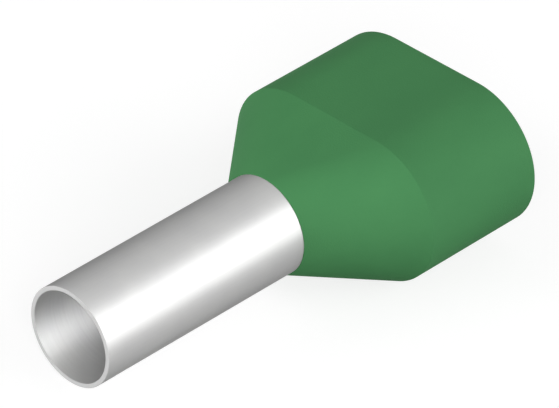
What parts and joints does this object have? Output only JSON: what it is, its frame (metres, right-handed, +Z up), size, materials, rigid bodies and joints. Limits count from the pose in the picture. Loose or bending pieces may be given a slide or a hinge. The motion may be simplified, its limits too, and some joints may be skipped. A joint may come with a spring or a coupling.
{
  "type": "twin wire ferrule",
  "caption": "Wire-end ferrule: a round tinned sleeve for the stripped ends of paired wires, in a tapered plastic collar with an obround mouth for their insulation.",
  "frame": {"origin": "centre of the sleeve's bore, at its open front end", "axes": "+X along the bore, towards the mouth where the wires enter; +Y across the collar's width; +Z up, square to the collar's flat top"},
  "size_m": [0.0269, 0.0144, 0.0084],
  "materials": {
    "tinned_copper": "smooth satin tin plating",
    "moulded_plastic": "fine satin moulded, mid green"
  },
  "bodies": {
    "root": {"metal_sleeve": "tinned_copper", "plastic_collar": "moulded_plastic"}
  },
  "joints": []
}
